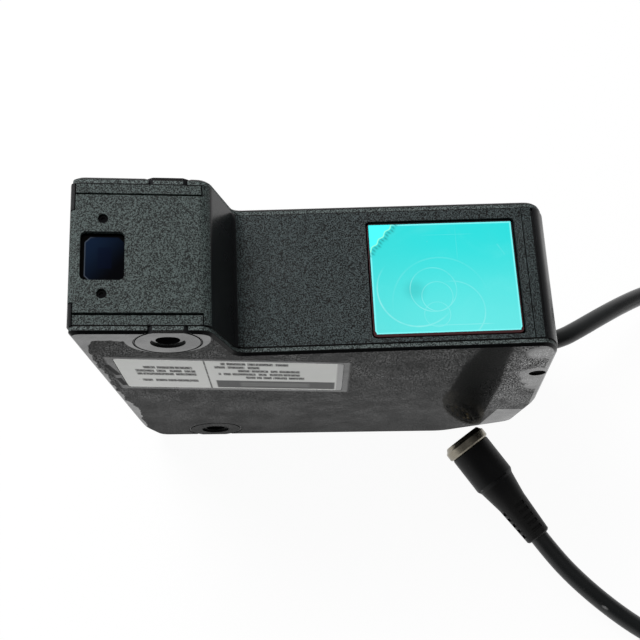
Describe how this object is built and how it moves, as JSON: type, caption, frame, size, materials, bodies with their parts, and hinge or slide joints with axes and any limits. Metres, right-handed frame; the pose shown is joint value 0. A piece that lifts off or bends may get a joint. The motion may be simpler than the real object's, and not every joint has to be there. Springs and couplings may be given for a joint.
{
  "type": "laser displacement sensor",
  "caption": "Flat laser displacement sensor head with a raised transmitter window, a tilted receiver filter and a short cable with a round connector.",
  "frame": {"origin": "on the resting plane of the back face, under the middle of the head's length and thickness", "axes": "+Z out of the transmitter face, +X from the transmitter to the cable gland, -Y towards the label side"},
  "size_m": [0.2501, 0.1224, 0.093],
  "materials": {
    "cast_black": "smooth black powder coat on cast aluminium, semi-gloss",
    "cover_black": "semi-gloss black coat on a pressed side cover",
    "panel_grey": "fine-grained charcoal coat, matt",
    "inlay_grey": "charcoal moulding with a fine grain, a little darker than the panel",
    "label_pale": "bare satin film",
    "screw_black": "black oxide steel",
    "window_blue": "dark blue coated glass",
    "filter_cyan": "bright cyan dichroic coating on polished glass",
    "seal_rubber": "matt black rubber",
    "bench_alloy": "bead-blasted aluminium",
    "mirror_coat": "first-surface mirror",
    "lens_glass": "polished optical glass",
    "gilt": "gold-plated metal",
    "board_green": "green solder mask",
    "chip_black": "matt black package",
    "terminal_ivory": "ivory nylon",
    "cable_black": "matt black cable jacket",
    "gland_black": "black nylon",
    "nickel": "warm nickel plate, polished",
    "mould_black": "black moulded elastomer, satin"
  },
  "bodies": {
    "root": {"housing": "cast_black", "label_side_cover": "cover_black", "far_side_cover": "cover_black", "label_sticker": "label_pale", "label_cover_screws": "screw_black", "far_cover_screws": "screw_black", "transmitter_panel": "panel_grey", "upper_inlay": "inlay_grey", "lower_inlay": "inlay_grey", "receiver_panel": "panel_grey", "receiver_end_strip": "inlay_grey", "panel_screws": "screw_black", "transmitter_window": "window_blue", "transmitter_seal": "seal_rubber", "receiver_filter": "filter_cyan", "receiver_seal": "seal_rubber", "mirror_mount": "bench_alloy", "fold_mirror": "mirror_coat", "laser_holder": "bench_alloy", "collimating_lens": "lens_glass", "laser_diode": "gilt", "lens_cradle": "bench_alloy", "lens_barrel": "screw_black", "front_lens": "lens_glass", "rear_lens": "lens_glass", "sensor_bracket": "bench_alloy", "sensor_board": "board_green", "image_sensor": "chip_black", "main_board": "board_green", "processor": "chip_black", "board_screws": "nickel", "cable_terminal": "terminal_ivory", "cable_tail": "cable_black", "gland_body": "gland_black", "gland_cap": "gland_black", "gland_lock_nut": "nickel", "cable": "cable_black", "connector_shell": "nickel", "connector_body": "mould_black", "connector_insert": "chip_black", "connector_pins": "gilt"}
  },
  "joints": []
}
